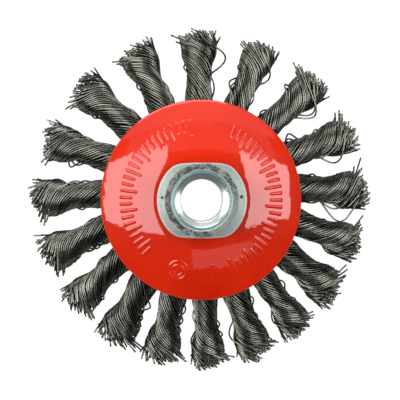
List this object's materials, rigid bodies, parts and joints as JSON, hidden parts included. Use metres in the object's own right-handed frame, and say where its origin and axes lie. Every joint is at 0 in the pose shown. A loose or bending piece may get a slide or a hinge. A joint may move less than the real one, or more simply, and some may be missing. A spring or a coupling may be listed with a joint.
{
  "type": "bevel wire brush",
  "caption": "Bevel wire brush for an angle grinder: twisted steel wire knots slope outwards under a dished red steel cover, round a threaded hub nut.",
  "frame": {"origin": "middle of the nut's top face, where the grinder's flange seats and its spindle goes in", "axes": "+Z out of the threaded bore towards the grinder, +Y towards the side that the first knot points to, +X to its right seen from the grinder; the wires point out and down (-Z)"},
  "size_m": [0.1032, 0.1037, 0.0367],
  "materials": {
    "zinc_nut": "zinc plated, turned, dull",
    "red_cover": "gloss",
    "bare_steel": "pressed sheet, oiled",
    "steel_wire": "drawn wire, dull"
  },
  "bodies": {
    "root": {"hub_nut": "zinc_nut", "cover_plate": "red_cover", "carrier_plate": "bare_steel", "backing_plate": "bare_steel", "knot_01": "steel_wire", "knot_02": "steel_wire", "knot_03": "steel_wire", "knot_04": "steel_wire", "knot_05": "steel_wire", "knot_06": "steel_wire", "knot_07": "steel_wire", "knot_08": "steel_wire", "knot_09": "steel_wire", "knot_10": "steel_wire", "knot_11": "steel_wire", "knot_12": "steel_wire", "knot_13": "steel_wire", "knot_14": "steel_wire", "knot_15": "steel_wire", "knot_16": "steel_wire", "knot_17": "steel_wire", "knot_18": "steel_wire"}
  },
  "joints": []
}
